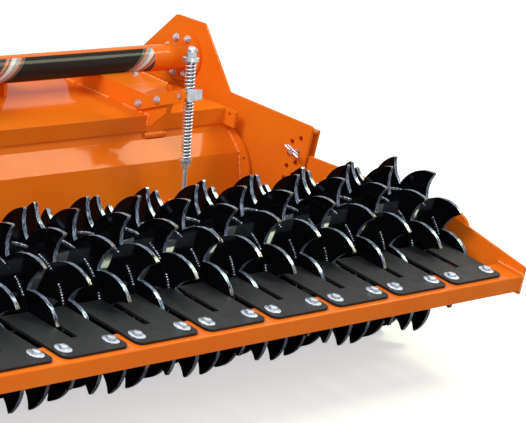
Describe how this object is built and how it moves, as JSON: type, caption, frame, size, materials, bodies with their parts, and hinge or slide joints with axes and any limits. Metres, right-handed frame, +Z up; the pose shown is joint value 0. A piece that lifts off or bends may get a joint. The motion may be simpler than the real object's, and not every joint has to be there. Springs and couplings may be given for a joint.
{
  "type": "rotavator with spiked roller",
  "caption": "Tractor-mounted rotavator with a powered tine rotor under a hood, a sprung trailing board and a spiked trailing roller with scrapers.",
  "frame": {"origin": "centre of the footprint box on the ground", "axes": "+X to the right of travel, +Y the way it travels, +Z up"},
  "size_m": [2.66, 1.9494, 0.916],
  "materials": {
    "bare_steel": "satin",
    "black_paint": "gloss",
    "cast_iron_housing": "satin",
    "dark_grey_paint": "satin",
    "orange_paint": "gloss",
    "zinc_plate": "satin"
  },
  "bodies": {
    "main_frame": {"arm_bracket_left": "orange_paint", "arm_bracket_right": "orange_paint", "arm_pivot_left": "zinc_plate", "arm_pivot_right": "zinc_plate", "cross_tube_left": "orange_paint", "cross_tube_right": "orange_paint", "gearbox": "cast_iron_housing", "hinge_pins": "zinc_plate", "hitch_bracket_left": "orange_paint", "hitch_bracket_right": "orange_paint", "hitch_pin_left": "zinc_plate", "hitch_pin_right": "zinc_plate", "hood": "orange_paint", "mast": "orange_paint", "rod_arm_left": "orange_paint", "rod_arm_right": "orange_paint", "rod_bracket_left": "orange_paint", "rod_bracket_right": "orange_paint", "rotor_bearing": "cast_iron_housing", "side_drive": "orange_paint", "side_plate_left": "orange_paint", "side_plate_right": "orange_paint", "skid_left": "dark_grey_paint", "skid_right": "dark_grey_paint", "stop_pin_left": "zinc_plate", "stop_pin_right": "zinc_plate"},
    "rotor": {"rotor": "dark_grey_paint"},
    "input_shaft": {"input_shaft": "bare_steel"},
    "trailing_board": {"board_lug_left": "orange_paint", "board_lug_right": "orange_paint", "trailing_board": "orange_paint"},
    "trunnion_right": {"lower_spring_right": "black_paint", "trunnion_right": "zinc_plate", "upper_spring_right": "black_paint"},
    "spring_rod_right": {"spring_rod_right": "zinc_plate"},
    "trunnion_left": {"lower_spring_left": "black_paint", "trunnion_left": "zinc_plate", "upper_spring_left": "black_paint"},
    "spring_rod_left": {"spring_rod_left": "zinc_plate"},
    "roller_frame": {"frame_plate_left": "orange_paint", "frame_plate_right": "orange_paint", "rear_bar": "orange_paint", "roller_arm_left": "orange_paint", "roller_arm_right": "orange_paint", "roller_bearing_left": "dark_grey_paint", "roller_bearing_right": "dark_grey_paint", "scraper_plates": "dark_grey_paint"},
    "spiked_roller": {"spiked_roller": "black_paint"}
  },
  "joints": [
    {"name": "rotor_turn", "type": "hinge", "parent": "main_frame", "child": "rotor", "pos_m": [0.022, 0.50872, 0.226], "axis": [1, 0, 0], "continuous": true},
    {"name": "input_shaft_turn", "type": "hinge", "parent": "main_frame", "child": "input_shaft", "pos_m": [0.022, 0.72372, 0.6], "axis": [0, 1, 0], "continuous": true},
    {"name": "board_swing", "type": "hinge", "parent": "main_frame", "child": "trailing_board", "pos_m": [0.022, 0.24872, 0.396], "axis": [1, 0, 0], "range_deg": [-24, 6]},
    {"name": "roller_frame_swing", "type": "hinge", "parent": "main_frame", "child": "roller_frame", "pos_m": [0.022, 0.32372, 0.338], "axis": [1, 0, 0], "range_deg": [0, 8]},
    {"name": "roller_turn", "type": "hinge", "parent": "roller_frame", "child": "spiked_roller", "pos_m": [0.022, -0.53728, 0.28], "axis": [1, 0, 0], "continuous": true},
    {"name": "trunnion_swivel_right", "type": "hinge", "parent": "main_frame", "child": "trunnion_right", "pos_m": [0.862, 0.13472, 0.57], "axis": [1, 0, 0], "range_deg": [-15.54, 3.88]},
    {"name": "rod_slide_right", "type": "slide", "parent": "trunnion_right", "child": "spring_rod_right", "axis": [0, 0.2044, 0.9789], "range_m": [-0.01683, 0.06731], "deforming": ["upper_spring_right", "lower_spring_right"]},
    {"name": "trunnion_swivel_left", "type": "hinge", "parent": "main_frame", "child": "trunnion_left", "pos_m": [-0.818, 0.13472, 0.57], "axis": [1, 0, 0], "range_deg": [-15.54, 3.88]},
    {"name": "rod_slide_left", "type": "slide", "parent": "trunnion_left", "child": "spring_rod_left", "axis": [0, 0.2044, 0.9789], "range_m": [-0.01683, 0.06731], "deforming": ["upper_spring_left", "lower_spring_left"]}
  ],
  "couplings": [
    {"joint": "trunnion_swivel_right", "follows": "board_swing", "ratio": 0.64751},
    {"joint": "rod_slide_right", "follows": "board_swing", "m_per_rad": -0.16068},
    {"joint": "trunnion_swivel_left", "follows": "board_swing", "ratio": 0.64751},
    {"joint": "rod_slide_left", "follows": "board_swing", "m_per_rad": -0.16068}
  ]
}
